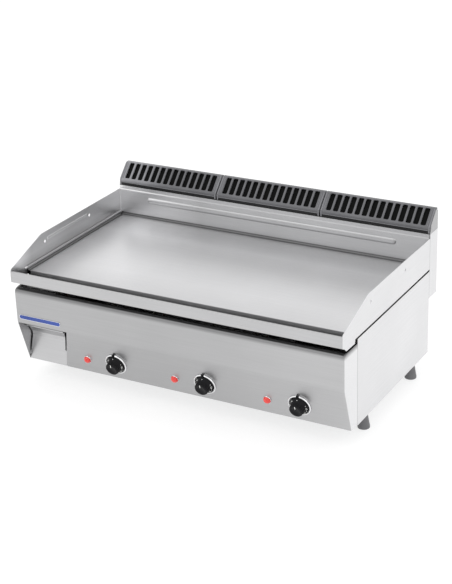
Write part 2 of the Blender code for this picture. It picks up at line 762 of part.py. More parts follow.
# ---------------------------------------------------------------- heating
def element_path(centre):
    """One serpentine element of four legs, with both ends turned down at the front."""
    first = centre - 1.5 * LEG_PITCH
    front_end = -0.206
    path = [(first, front_end, 0.218), (first, front_end, Z_ELEMENT - 0.006),
            (first, front_end + 0.006, Z_ELEMENT)]
    radius = LEG_PITCH / 2
    for leg in range(3):
        middle = first + LEG_PITCH * (leg + 0.5)
        sign = 1 if leg % 2 == 0 else -1
        for x, y in arc((middle, sign * (LEG_REACH - radius)), radius, 180, 0 if sign > 0 else 360, 6):
            path.append((x, y, Z_ELEMENT))
    last = first + 3 * LEG_PITCH
    path += [(last, front_end + 0.006, Z_ELEMENT), (last, front_end, Z_ELEMENT - 0.006),
             (last, front_end, 0.218)]
    return path


def heating():
    for side, x in zip(SIDES, ZONE_X):
        mesh = tube_mesh("heating_element_" + side, element_path(x), ELEMENT_RADIUS)
        smooth(part("heating_element_" + side, mesh, ELEMENT_SHEATH))
    front, rear = -0.197, 0.205
    top = Z_ELEMENT - ELEMENT_RADIUS - GAP
    sheet = ((-0.400, front, top - 0.001), (0.400, rear, top))
    part("heat_reflector", boxes("heat_reflector", [sheet]), GALVANISED)
    top -= 0.001 + GAP
    board = ((-0.430, front, top - BOARD_THICK), (0.430, rear, top))
    part("insulation_board", boxes("insulation_board", [board]), BOARD)
    top -= BOARD_THICK + GAP
    for side, sign in (("left", -1), ("right", 1)):
        a, b = sign * 0.410, sign * (INNER_HALF - GAP)
        low = (min(a, b), front, top - 0.003)
        high = (max(a, b), rear, top)
        name = "board_support_" + side
        part(name, boxes(name, [(low, high)]), GALVANISED)


def sensors():
    """Thermostat bulbs under the plate, each drawn out into the capillary of its thermostat."""
    radius = 0.003
    z = PLATE_TOP - PLATE_THICK - GAP - radius
    for side, zone, knob in zip(SIDES, ZONE_X, KNOB_X):
        x = zone - LEG_PITCH
        end = panel_point(knob, KNOB_HEIGHT + 0.0225, -0.025)
        path = [
            (x, 0.020, z), (x, -0.060, z), (x, -0.064, z), (x, -0.2025, z), (x, -0.2090, z - 0.008),
            (x, -0.2090, 0.185), (x + (knob - x) * 0.3, -0.212, 0.165), (knob, -0.214, 0.150),
            tuple(end)]
        widths = [1.0, 1.0] + [0.35] * (len(path) - 2)
        mesh = tube_mesh("thermostat_bulb_" + side, path, radius, widths)
        smooth(part("thermostat_bulb_" + side, mesh, COPPER))


# ---------------------------------------------------------------- electrics
def cable_gland():
    profile = [
        (0.0055, 0.0330), (0.0095, 0.0330), (0.0120, 0.0290), (0.0125, 0.0170), (0.0100, 0.0165),
        (0.0100, 0.0130), (0.0150, 0.0125), (0.0150, 0.0003), (0.0098, 0.0003),
        (0.0098, -0.0120), (0.0055, -0.0120), (0.0055, 0.0330),
    ]
    to_rear = Matrix.Rotation(math.radians(-90), 4, "X")
    place = Matrix.Translation((GLAND_X, Y_BODY_REAR, GLAND_Z)) @ to_rear
    turned("cable_gland", profile, CABLE_GREY, place, 20)


def electrics():
    floor = Z_BASE + 2 * SHEET + 2 * GAP
    block = part("terminal_block", boxes("terminal_block", [
        ((0.255, 0.150, floor), (0.345, 0.185, floor + 0.028))]), PALE_PLASTIC)
    bevel(block, 0.0015, 1)
    contactor = part("contactor", boxes("contactor", [
        ((0.130, 0.120, floor), (0.190, 0.200, floor + 0.085))]), BLACK_PLASTIC)
    bevel(contactor, 0.003, 1)
    profile = [
        (0.0, 0.030), (0.0080, 0.030), (0.0080, 0.022), (0.0140, 0.021),
        (0.0140, 0.0), (0.0, 0.0),
    ]
    turned("safety_thermostat", profile, BLACK_PLASTIC, Matrix.Translation((0.05, 0.16, floor)), 16)
    z = floor + 0.012
    trunk = [(0.249, 0.165, z), (0.225, 0.150, z), (0.215, 0.115, z), (0.180, 0.095, z),
             (0.080, 0.092, z), (-0.120, 0.092, z), (-0.190, 0.060, z), (-0.205, -0.020, z),
             (-0.200, -0.110, z + 0.005), (-0.185, -0.170, z + 0.018)]
    smooth(part("wiring_loom", tube_mesh("wiring_loom", trunk, 0.005), CABLE_GREY))


# ---------------------------------------------------------------- feet
def foot_profile():
    return [
        (0.0, 0.074), (STEM_RADIUS, 0.074), (STEM_RADIUS, 0.0465), (0.0080, 0.0465),
        (0.0098, 0.0240), (0.0130, 0.0090), (FOOT_RADIUS, 0.0060),
        (FOOT_RADIUS, 0.0010), (0.0140, 0.0), (0.0, 0.0),
    ]


def feet():
    ends = ("front", "rear")
    for (x, y), name in zip(foot_places(), [a + "_" + b for a in ends for b in ("left", "right")]):
        turned("foot_" + name, foot_profile(), FOOT_PLASTIC, Matrix.Translation((x, y, 0)), 20)


def build():
    side_panels()
    base_pan()
    back_panel()
    front_panel()
    front_trim()
    splash_guards()
    rear_splash()
    griddle_plate()
    side_ledges()
    flue_box()
    flue_grilles()
    controls()
    badge()
    grease_drawer()
    drain()
    heating()
    sensors()
    cable_gland()
    electrics()
    feet()


build()
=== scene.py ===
"""Looks of the countertop griddle: materials, pressed details, dials, light and camera."""
import math

import bmesh
import bpy
from mathutils import Matrix, Vector


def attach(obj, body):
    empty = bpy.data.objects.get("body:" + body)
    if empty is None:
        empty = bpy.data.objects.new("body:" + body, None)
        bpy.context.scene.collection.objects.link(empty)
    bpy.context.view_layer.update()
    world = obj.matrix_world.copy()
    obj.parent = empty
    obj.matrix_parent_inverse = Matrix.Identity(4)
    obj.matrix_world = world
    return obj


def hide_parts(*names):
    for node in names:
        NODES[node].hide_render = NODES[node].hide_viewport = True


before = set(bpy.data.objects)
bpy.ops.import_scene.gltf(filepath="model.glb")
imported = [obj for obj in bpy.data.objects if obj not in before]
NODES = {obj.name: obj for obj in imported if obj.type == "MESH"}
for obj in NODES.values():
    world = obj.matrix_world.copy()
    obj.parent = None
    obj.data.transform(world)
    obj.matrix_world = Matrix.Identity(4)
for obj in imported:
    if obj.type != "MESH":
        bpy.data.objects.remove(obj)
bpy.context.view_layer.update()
SIDES = ("left", "centre", "right")

# The camera stands where the photographer did, aimed at a point on the front trim
TARGET = Vector((0.096, -0.168, 0.307))
AZIMUTH = math.radians(29.59)
ELEVATION = math.radians(23.62)
ROLL = math.radians(-1.96)
DISTANCE = 3.604
LENS_MM = 94.2

# The lights: name, place, size and power; they all face the middle of the casing
LIGHTS = (
    ("key", (-1.2, -2.4, 2.6), 2.2, 12.0),
    ("fill", (2.6, -0.6, 1.9), 2.0, 12.0),
    ("top", (0.0, 0.3, 3.0), 2.0, 3.0),
)
LIT_POINT = Vector((0, 0, 0.25))
SKY_STRENGTH = 1.03
FLOOR_GLOW = 0.66

# Places on the casing, in metres, in the row frame
INNER_X = 0.4485
SPLASH_Y = 0.2265
PANEL_FOOT = Vector((0, -0.2330, 0.0505))
PANEL_UP = Vector((0, -0.0370, 0.1165)).normalized()
PANEL_OUT = Vector((0, -PANEL_UP.z, PANEL_UP.y))
KNOB_X = (-0.1745, 0.076, 0.3265)
KNOB_HEIGHT = 0.0494
LAMP_OFFSET = -0.085
LAMP_HEIGHT = 0.0429
BACK_PANEL_Y = 0.2297
NUT_X = (-0.4189, -0.3474)
GRILLE_ENDS = ((-0.4482, -0.15125), (-0.14875, 0.14875), (0.15125, 0.4482))
GRILLE_LOW = (0.2300, 0.3824)
GRILLE_HIGH = (0.2686, 0.4210)
FEET = {
    "front_left": (-0.430, -0.119), "front_right": (0.430, -0.119),
    "rear_left": (-0.430, 0.168), "rear_right": (0.430, 0.168),
}

# Sizes of the turned pieces
GRIP_RADIUS = 0.0173
GRIP_TOP = 0.0240
SKIRT_RADIUS = 0.0250
RING_RADIUS = 0.0295
GAP = 0.0003

# The dial's scale: one number every 50 degrees of heat, on the skirt's slope
DIAL_NUMBERS = range(1, 7)
DIAL_TURN = 45
DIAL_SLOPE = Matrix.Rotation(math.radians(-27), 4, "X")

# Which way a face looks
TO_FRONT = (0, -1, 0)
TO_REAR = (0, 1, 0)

# Frames that put an outline's two directions and its length along the row axes
ALONG_X = Matrix(((0, 0, 1, 0), (1, 0, 0, 0), (0, 1, 0, 0), (0, 0, 0, 1)))
ALONG_Y = Matrix(((1, 0, 0, 0), (0, 0, 1, 0), (0, 1, 0, 0), (0, 0, 0, 1)))
AGAINST_Y = Matrix(((1, 0, 0, 0), (0, 0, -1, 0), (0, 1, 0, 0), (0, 0, 0, 1)))

# Noise frequencies along and across the brush marks, and across the plate's grinding marks
BRUSH_ALONG, BRUSH_ACROSS = 6, 420
GRIND_ALONG, GRIND_ACROSS = 8, 500
SURFACE_DEPTH = 0.0002


# ---------------------------------------------------------------- node helpers
class Shader:
    """A Principled material with short calls for the nodes that feed it."""

    def __init__(self, name, colour, roughness, metallic=0.0, **inputs):
        self.material = bpy.data.materials.new(name)
        self.material.use_nodes = True
        self.tree = self.material.node_tree
        self.bsdf = self.tree.nodes["Principled BSDF"]
        self.bsdf.inputs["Base Color"].default_value = (*colour, 1.0)
        self.bsdf.inputs["Roughness"].default_value = roughness
        self.bsdf.inputs["Metallic"].default_value = metallic
        for key, value in inputs.items():
            self.bsdf.inputs[key.replace("_", " ")].default_value = value
        self.place = self.node("ShaderNodeTexCoord").outputs["Object"]

    def node(self, kind, **settings):
        made = self.tree.nodes.new(kind)
        for key, value in settings.items():
            setattr(made, key, value)
        return made

    def link(self, source, target):
        self.tree.links.new(source, target)

    def stretched(self, scale):
        """The place on the object, scaled differently along each axis."""
        mapping = self.node("ShaderNodeMapping")
        mapping.inputs["Scale"].default_value = scale
        self.link(self.place, mapping.inputs["Vector"])
        return mapping.outputs["Vector"]

    def noise(self, scale, detail=3.0, roughness=0.5, stretch=(1, 1, 1)):
        texture = self.node("ShaderNodeTexNoise")
        texture.inputs["Scale"].default_value = scale
        texture.inputs["Detail"].default_value = detail
        texture.inputs["Roughness"].default_value = roughness
        self.link(self.stretched(stretch), texture.inputs["Vector"])
        return texture.outputs["Fac"]

    def ramp(self, axis, start, end, low, high):
        """A value that runs from low to high as an object coordinate passes from start to end."""
        parts = self.node("ShaderNodeSeparateXYZ")
        self.link(self.place, parts.inputs["Vector"])
        value = parts.outputs[axis[-1].upper()]
        if len(axis) > 1:
            value = self.math("ABSOLUTE", value, 0.0)
        return self.spread(value, low, high, start, end)

    def shade(self, socket, zones):
        """Paint shade or light into a colour by position; each zone is (axis, start, end, factor).
        """
        for axis, start, end, factor in zones:
            scaled = self.node("ShaderNodeVectorMath", operation="SCALE")
            self.link(socket, scaled.inputs["Vector"])
            self.link(self.ramp(axis, start, end, 1.0, factor), scaled.inputs["Scale"])
            socket = scaled.outputs["Vector"]
        return socket

    def spread(self, value, low, high, start=0.3, end=0.7):
        """Map a value from start..end to low..high."""
        made = self.node("ShaderNodeMapRange")
        made.inputs["From Min"].default_value = start
        made.inputs["From Max"].default_value = end
        made.inputs["To Min"].default_value = low
        made.inputs["To Max"].default_value = high
        self.link(value, made.inputs["Value"])
        return made.outputs["Result"]

    def math(self, operation, a, b):
        made = self.node("ShaderNodeMath", operation=operation)
        for socket, value in zip(made.inputs, (a, b)):
            if isinstance(value, (int, float)):
                socket.default_value = value
            else:
                self.link(value, socket)
        return made.outputs["Value"]

    def weigh(self, first, share, second, other_share):
        """Add two values, each by its share."""
        return self.math(
            "ADD", self.math("MULTIPLY", first, share), self.math("MULTIPLY", second, other_share))

    def blend(self, factor, first, second):
        """Mix two colours by a factor socket."""
        made = self.node("ShaderNodeMix", data_type="RGBA")
        self.link(factor, made.inputs["Factor"])
        for socket, value in ((made.inputs[6], first), (made.inputs[7], second)):
            if isinstance(value, tuple):
                socket.default_value = (*value, 1.0)
            else:
                self.link(value, socket)
        return made.outputs[2]

    def colour(self, socket):
        self.link(socket, self.bsdf.inputs["Base Color"])

    def rough(self, socket):
        self.link(socket, self.bsdf.inputs["Roughness"])

    def bump(self, height, strength, distance=SURFACE_DEPTH):
        made = self.node("ShaderNodeBump")
        made.inputs["Strength"].default_value = strength
        made.inputs["Distance"].default_value = distance
        self.link(height, made.inputs["Height"])
        self.link(made.outputs["Normal"], self.bsdf.inputs["Normal"])


# ---------------------------------------------------------------- materials
def brushed(name, grain, tone=0.62, roughness=0.34, zones=()):
    """Brushed stainless sheet; grain is the axis the brush marks run along."""
    stretch = tuple(BRUSH_ALONG if axis == grain else BRUSH_ACROSS for axis in "xyz")
    shader = Shader(name, (tone, tone, tone * 1.01), roughness, 1.0)
    marks = shader.noise(1.0, 3.0, 0.6, stretch)
    cloud = shader.noise(5.0, 2.0)
    smudge = shader.noise(22.0, 4.0, 0.65)
    both = shader.weigh(marks, 0.6, cloud, 0.4)
    low, high = tone * 0.94, tone * 1.06
    steel = shader.blend(
        shader.spread(both, 0.0, 1.0), (low, low, low * 1.012), (high, high, high * 1.012))
    # zones paint light and shade into the steel's colour by position
    shader.colour(shader.shade(steel, zones))
    worn = shader.weigh(marks, 0.6, smudge, 0.4)
    shader.rough(shader.spread(worn, roughness * 0.82, roughness * 1.18))
    shader.bump(marks, 0.10)
    return shader.material


def ground_plate():
    """The cooking plate: ground steel, fine marks along X, round scuffs, painted shade on its rim,
    and painted shade and reflection towards the rear and front.
    """
    shader = Shader("ground_plate_look", (0.60, 0.60, 0.61), 0.36, 1.0)
    marks = shader.noise(1.0, 4.0, 0.6, (GRIND_ALONG, GRIND_ACROSS, GRIND_ALONG))
    cloud = shader.noise(4.0, 4.0, 0.6)
    scuff = shader.node("ShaderNodeTexWave", wave_type="RINGS", rings_direction="Z")
    scuff.inputs["Scale"].default_value = 26.0
    scuff.inputs["Distortion"].default_value = 7.0
    scuff.inputs["Detail"].default_value = 3.0
    shader.link(shader.place, scuff.inputs["Vector"])
    both = shader.weigh(marks, 0.45, cloud, 0.55)
    steel = shader.blend(
        shader.spread(both, 0.0, 1.0), (0.725, 0.725, 0.735), (0.815, 0.815, 0.825))
    # Painted shade on the plate's front face, its lower rim and its side edges
    edges = (
        ("y", -0.2098, -0.2111, 0.53), ("z", 0.2800, 0.2755, 0.60), ("|x", 0.4385, 0.4398, 0.5))
    # Painted shade and reflection: darker towards the rear and towards the front, a touch lighter
    # towards the left
    plate_reflection_shade = (("y", 0.115, 0.215, 0.60), ("x", -0.100, -0.420, 1.01), ("y", -0.120, -0.200, 0.88))
    shader.colour(shader.shade(steel, edges + plate_reflection_shade))
    worn = shader.weigh(marks, 0.5, scuff.outputs["Fac"], 0.2)
    shader.rough(shader.spread(worn, 0.32, 0.42))
    shader.bump(marks, 0.06)
    return shader.material


def galvanised():
    """Zinc-coated sheet with its spangle."""
    shader = Shader("galvanised_look", (0.48, 0.49, 0.50), 0.45, 1.0)
    spangle = shader.node("ShaderNodeTexVoronoi")
    spangle.inputs["Scale"].default_value = 90.0
    shader.link(shader.place, spangle.inputs["Vector"])
    shader.colour(shader.blend(
        shader.spread(spangle.outputs["Distance"], 0.0, 1.0, 0.1, 0.9),
        (0.42, 0.43, 0.44), (0.56, 0.57, 0.58)))
    shader.rough(shader.spread(shader.noise(30.0), 0.38, 0.55))
    shader.bump(shader.noise(300.0), 0.1)
    return shader.material


def dark_enamel(name="dark_enamel_look", tone=0.135, zones=()):
    """Dark grey enamel with a faint orange peel."""
    shader = Shader(name, (tone, tone, tone * 1.05), 0.40, Specular_IOR_Level=0.28)
    cloud = shader.noise(18.0, 4.0)
    low, high = tone * 0.88, tone * 1.12
    grey = shader.blend(
        shader.spread(cloud, 0.0, 1.0), (low, low, low * 1.06), (high, high, high * 1.06))
    # zones paint shade and light into the enamel's colour by position
    shader.colour(shader.shade(grey, zones))
    shader.rough(shader.spread(cloud, 0.32, 0.48))
    shader.bump(shader.noise(900.0, 2.0), 0.12)
    return shader.material


def chrome():
    """Polished plating, slightly clouded."""
    shader = Shader("chrome_look", (0.86, 0.86, 0.87), 0.08, 1.0)
    cloud = shader.noise(60.0)
    shader.colour(shader.blend(
        shader.spread(cloud, 0.0, 1.0), (0.80, 0.80, 0.81), (0.90, 0.90, 0.91)))
    shader.rough(shader.spread(cloud, 0.05, 0.14))
    return shader.material


def moulded(name, colour, roughness, grain=700.0, **inputs):
    """Moulded plastic with a faint grain and slightly uneven gloss."""
    shader = Shader(name, colour, roughness, **inputs)
    cloud = shader.noise(40.0)
    low = tuple(channel * 0.85 for channel in colour)
    high = tuple(min(1.0, channel * 1.15) for channel in colour)
    shader.colour(shader.blend(shader.spread(cloud, 0.0, 1.0), low, high))
    shader.rough(shader.spread(cloud, roughness * 0.85, roughness * 1.15))
    shader.bump(shader.noise(grain, 2.0), 0.08)
    return shader.material


def red_lens():
    """Clear-coated red lens with moulded rings inside it."""
    shader = Shader("red_lens_look", (0.80, 0.02, 0.012), 0.12, Coat_Weight=0.7)
    depth = shader.noise(260.0, 2.0)
    shader.colour(shader.blend(
        shader.spread(depth, 0.0, 1.0), (0.62, 0.010, 0.006), (0.90, 0.045, 0.025)))
    shader.rough(shader.spread(depth, 0.08, 0.18))
    shader.bump(depth, 0.15)
    return shader.material


def fibre_board():
    """Pressed mineral fibre."""
    shader = Shader("fibre_board_look", (0.72, 0.70, 0.66), 0.92)
    fibres = shader.noise(1.0, 4.0, 0.7, (60, 300, 300))
    shader.colour(shader.blend(
        shader.spread(fibres, 0.0, 1.0), (0.62, 0.60, 0.56), (0.80, 0.78, 0.74)))
    shader.bump(fibres, 0.5, 0.001)
    return shader.material


def aged_metal(name, dark, light, roughness):
    """Bare metal that has clouded from dark to light."""
    shader = Shader(name, light, roughness, 1.0)
    cloud = shader.noise(35.0, 5.0, 0.6)
    shader.colour(shader.blend(shader.spread(cloud, 0.0, 1.0), dark, light))
    shader.rough(shader.spread(cloud, roughness * 0.8, roughness * 1.2))
    shader.bump(shader.noise(400.0), 0.1)
    return shader.material


def paint(material, *names):
    """Put one finish on CAD nodes."""
    for name in names:
        NODES[name].data.materials.clear()
        NODES[name].data.materials.append(material)


def look_set():
    """Every finish, by name; the stainless parts are one steel whose tone is set part by part to
    paint the light and shade each face gets, and the zones paint light and shade by position.
    """
    # Painted light: the outer faces of the side sheets lighter than their inner faces
    outer_face_light = (("|x", 0.4487, 0.4498, 1.17),)
    guard_seam = (("y", 0.2285, 0.2297, 0.60),)
    side_seam = (("y", -0.1985, -0.1997, 0.60),)
    flue_seam = (("y", 0.2312, 0.2302, 0.60),)
    # Painted shade: the trim darker behind its front face, over the hem and inner faces
    trim_hem_shade = (("y", -0.2775, -0.2740, 0.80),)
    # Painted shade: the side ledges nearly black below the bead
    ledge_foot_shade = (("z", 0.2890, 0.2865, 0.12),)
    # Painted shadow: the front panel darkened towards its top edge, under the trim
    under_trim_shadow = (("z", 0.2440, 0.2585, 0.16),)
    # Painted light and shade on the front panel: lighter cheek faces, a darker strip by the left
    # cheek, lighter towards the right, and a dark joint at the seams to the side panels
    cheek_light_and_shade = (
        ("|x", 0.4488, 0.4497, 1.58), ("x", -0.4479, -0.4483, 1.25), ("x", -0.4488, -0.4493, 0.80),
        ("y", -0.2015, -0.2003, 0.60), ("x", 0.100, 0.420, 1.13))
    # Painted light and shade on the rear splash: shade at its foot by the plate, light over its
    # lower part and towards the left end
    splash_light_and_shade = (
        ("z", 0.2960, 0.2870, 0.75), ("z", 0.3250, 0.3000, 1.12), ("x", -0.200, -0.390, 1.70))
    # Painted light and shade on the left guard: darker low down, lighter towards the rear and much
    # lighter at the front end
    left_guard_light_and_shade = (
        ("z", 0.3200, 0.2950, 0.68), ("y", -0.020, 0.200, 1.20), ("y", -0.190, -0.250, 1.70))
    # Painted shade: the grilles nearly black below the lip bead; painted light towards the left end
    grille_lip_light_and_shade = (("z", 0.3790, 0.3750, 0.05), ("x", -0.300, -0.420, 2.1))
    return {
        "panel": brushed("front_panel_look", "x", 0.43, 0.34, under_trim_shadow + cheek_light_and_shade),
        "trim": brushed("front_trim_look", "x", 0.50, 0.32, trim_hem_shade),
        "splash": brushed("rear_splash_look", "x", 0.46, 0.34, splash_light_and_shade),
        "sheet_x": brushed("steel_along_x", "x"),
        "drawer": brushed("drawer_look", "x", 0.54, 0.34),
        "side": brushed("side_panel_look", "y", 0.62, 0.34, outer_face_light + side_seam),
        "guard": brushed("splash_guard_look", "y", 0.62, 0.34, outer_face_light + guard_seam),
        # Painted shade: the left guard in a darker tone of the same steel than the right guard
        "guard_left": brushed(
            "left_guard_look", "y", 0.54, 0.34, outer_face_light + guard_seam + left_guard_light_and_shade),
        "cap": brushed("grille_cap_look", "z", 0.45, 0.38),
        "flue": brushed("flue_end_look", "z", 0.62, 0.34, outer_face_light + flue_seam),
        "ledge": brushed("side_ledge_look", "y", 0.45, 0.36, ledge_foot_shade),
        # Painted shade: the coves in the same steel, near black for the shade in the joints round
        # the plate
        "cove": brushed("cove_painted_shade_look", "x", 0.17, 0.50),
        "flange": brushed("drain_flange_look", "x", 0.45, 0.5),
        "plate": ground_plate(),
        "zinc": galvanised(),
        "enamel": dark_enamel(zones=grille_lip_light_and_shade),
        # Painted highlight: a lighter copy of the grille enamel for the ridges' lit edges
        "enamel_ridge_highlight": dark_enamel("dark_enamel_ridge_highlight", 0.20),
        # Painted shade: a near-black finish for the sheets behind the grille slots, standing in for
        # the shade inside the flue
        "slot_shade": moulded(
            "near_black_slot_shade_look", (0.006, 0.006, 0.006), 0.9, 300.0, Specular_IOR_Level=0.1),
        "chrome": chrome(),
        "black": moulded(
            "black_plastic_look", (0.005, 0.005, 0.006), 0.42, Specular_IOR_Level=0.15),
        "pale": moulded("pale_plastic_look", (0.75, 0.74, 0.70), 0.45),
        "white": moulded("dial_print_look", (0.86, 0.86, 0.84), 0.5, 900.0),
        "lens": red_lens(),
        "sheath": aged_metal("element_sheath_look", (0.13, 0.13, 0.11), (0.26, 0.26, 0.24), 0.5),
        "copper": aged_metal("copper_look", (0.16, 0.08, 0.055), (0.30, 0.16, 0.11), 0.45),
        "board": fibre_board(),
        "cable": moulded("cable_grey_look", (0.10, 0.10, 0.11), 0.5),
        "foot": moulded("foot_look", (0.12, 0.12, 0.125), 0.45, 400.0),
        "badge": moulded("badge_look", (0.03, 0.07, 0.32), 0.3),
        "weld": brushed("weld_look", "z", 0.62, 0.34),
        "bright_zinc": aged_metal("bright_zinc_look", (0.72, 0.72, 0.73), (0.88, 0.88, 0.89), 0.25),
        "plate_label": brushed("blank_label_look", "x", 0.80, 0.45),
    }


def dress_nodes(looks):
    """Give every carried-over CAD node its finish."""
    paint(looks["panel"], "front_panel")
    paint(looks["trim"], "front_trim")
    paint(looks["splash"], "rear_splash")
    paint(looks["drawer"], "drawer_front")
    paint(looks["sheet_x"], "back_panel", "flue_back", "drawer_pan")
    paint(looks["side"], "side_panel_left", "side_panel_right")
    paint(looks["guard_left"], "splash_guard_left")
    paint(looks["guard"], "splash_guard_right")
    paint(looks["ledge"], "side_ledge_left", "side_ledge_right")
    paint(looks["flue"], "flue_end_left", "flue_end_right")
    paint(looks["cap"], "grille_cap_left", "grille_cap_right")
    paint(looks["flange"], "drain_pipe")
    paint(looks["plate"], "griddle_plate")
    paint(looks["zinc"], "base_pan", "drawer_runner_left", "drawer_runner_right")
    paint(looks["zinc"], "heat_reflector", "board_support_left", "board_support_right")
    for side in SIDES:
        paint(looks["enamel"], "flue_grille_" + side)
        soften_edges("flue_grille_" + side, 0.0007)
        paint(looks["zinc"], "thermostat_shaft_" + side)
        paint(looks["pale"], "thermostat_" + side)
        paint(looks["sheath"], "heating_element_" + side)
        paint(looks["copper"], "thermostat_bulb_" + side)
    paint(looks["board"], "insulation_board")
    paint(looks["pale"], "terminal_block")
    paint(looks["black"], "contactor", "safety_thermostat")
    paint(looks["cable"], "cable_gland", "wiring_loom")
    paint(looks["badge"], "badge")


def soften_edges(name, width):
    """Rounded edges on a CAD node, by modifiers only."""
    obj = NODES[name]
    weld = obj.modifiers.new("weld", "WELD")
    weld.merge_threshold = 0.00002
    modifier = obj.modifiers.new("rounding", "BEVEL")
    modifier.width = width
    modifier.segments = 2
    modifier.limit_method = "ANGLE"
    modifier.angle_limit = math.radians(40)


# ---------------------------------------------------------------- mesh helpers
def piece(name, bm, materials, body="casing", smooth=True):
    """Finish a mesh as a visible piece that rides on a CAD body."""
    bmesh.ops.remove_doubles(bm, verts=bm.verts, dist=1e-7)
    bmesh.ops.recalc_face_normals(bm, faces=bm.faces)
    mesh = bpy.data.meshes.new(name)
    bm.to_mesh(mesh)
    bm.free()
    for material in materials:
        mesh.materials.append(material)
    if smooth:
        mesh.shade_smooth()
        mesh.set_sharp_from_angle(angle=math.radians(42))
    obj = bpy.data.objects.new(name, mesh)
    bpy.context.scene.collection.objects.link(obj)
    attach(obj, body)
    return obj


def add_turned(bm, profile, place, steps, bands=(), flutes=(), sides=0):
    """Turn (radius, height) points about Z.

    bands gives each row's material. flutes is (first row, last row, count, depth) of grooves.
    sides makes a polygon of the round, as on a nut.
    """
    rings = []
    for row, (radius, height) in enumerate(profile):
        ring = []
        for i in range(steps):
            turn = math.tau * i / steps
            reach = radius
            if flutes and flutes[0] <= row <= flutes[1]:
                reach -= flutes[3] * (0.5 - 0.5 * math.cos(flutes[2] * turn)) ** 2
            if sides:
                wedge = math.pi / sides
                reach *= math.cos(wedge) / math.cos(turn % (2 * wedge) - wedge)
            ring.append(bm.verts.new(
                place @ Vector((reach * math.sin(turn), reach * math.cos(turn), height))))
        rings.append(ring)
    for row, (upper, lower) in enumerate(zip(rings, rings[1:])):
        for i in range(steps):
            j = (i + 1) % steps
            face = bm.faces.new((upper[i], upper[j], lower[j], lower[i]))
            face.material_index = bands[row] if bands else 0


def add_rib(bm, start, end, width, height, out):
    """A pressed rib with rounded ends, standing proud on the outward side of a face."""
    start, end, out = Vector(start), Vector(end), Vector(out).normalized()
    along = (end - start).normalized()
    across = along.cross(out)
    length = (end - start).length
    half = width / 2
    marks = [half * (1 - math.cos(math.radians(15 * i))) for i in range(7)]
    rows = []
    for place in marks + [length - mark for mark in reversed(marks)]:
        inward = min(place, length - place, half)
        size = math.sqrt(max(1e-6, 1 - (1 - inward / half) ** 2))
        row = []
        for i in range(11):
            turn = math.radians(18 * i)
            sideways = across * (half * size * math.cos(turn))
            proud = out * (height * size * math.sin(turn))
            row.append(bm.verts.new(start + along * place + (sideways + proud)))
        rows.append(row)
    for first, second in zip(rows, rows[1:]):
        for i in range(10):
            bm.faces.new((first[i], first[i + 1], second[i + 1], second[i]))


def add_prism(bm, outline, start, end, place=None):
    """A straight prism on a flat outline of (a, b) points, from start to end along Z."""
    place = place or Matrix.Identity(4)
    low = [bm.verts.new(place @ Vector((a, b, start))) for a, b in outline]
    high = [bm.verts.new(place @ Vector((a, b, end))) for a, b in outline]
    bm.faces.new(low)
    bm.faces.new(list(reversed(high)))
    for i in range(len(outline)):
        j = (i + 1) % len(outline)
        bm.faces.new((low[i], low[j], high[j], high[i]))


def add_tube(bm, path, radius, steps):
    """A round bar along a straight or gently bent path, with rounded ends."""
    rows = []
    for i, point in enumerate(path):
        before, after = path[max(i - 1, 0)], path[min(i + 1, len(path) - 1)]
        turn = (after - before).to_track_quat("Z", "Y").to_matrix()
        size = 0.35 if i in (0, len(path) - 1) else 1.0
        rows.append([bm.verts.new(point + turn @ Vector((
            radius * size * math.cos(math.tau * k / steps),
            radius * size * math.sin(math.tau * k / steps), 0))) for k in range(steps)])
    for first, second in zip(rows, rows[1:]):
        for k in range(steps):
            bm.faces.new((first[k], first[(k + 1) % steps], second[(k + 1) % steps], second[k]))
    bm.faces.new(rows[0])
    bm.faces.new(list(reversed(rows[-1])))


def add_screw(bm, place, radius=0.0034):
    """A domed screw head with a hexagon socket."""
    height = radius * 0.62
    add_turned(bm, [
        (radius, 0.0), (radius, height * 0.35), (radius * 0.90, height * 0.70),
        (radius * 0.72, height * 0.92), (radius * 0.50, height)], place, 24)
    add_turned(bm, [(radius * 0.50, height), (radius * 0.44, height * 0.98),
                    (radius * 0.42, height * 0.30), (0.0, height * 0.30)], place, 24, sides=6)


def panel_frame(x, height):
    """A frame on the leaning panel whose Z axis points out of its face."""
    across = PANEL_UP.cross(PANEL_OUT)
    turn = Matrix((across, PANEL_UP, PANEL_OUT)).transposed().to_4x4()
    return Matrix.Translation(Vector((x, 0, 0)) + PANEL_FOOT + PANEL_UP * height) @ turn


def facing(axis, place):
    """A frame at place whose Z axis points along axis."""
    turn = Vector(axis).to_track_quat("Z", "Y").to_matrix().to_4x4()
    return Matrix.Translation(Vector(place)) @ turn


# ---------------------------------------------------------------- controls
def numeral(text, size):
    """A number as a thin mesh centred on its origin."""
    curve = bpy.data.curves.new("numeral", "FONT")
    curve.body = text
    curve.size = size
    curve.align_x = "CENTER"
    curve.align_y = "CENTER"
    curve.extrude = 0.00008
    holder = bpy.data.objects.new("numeral", curve)
    bpy.context.scene.collection.objects.link(holder)
    bpy.context.view_layer.update()
    mesh = bpy.data.meshes.new_from_object(holder)
    bpy.data.objects.remove(holder)
    return mesh


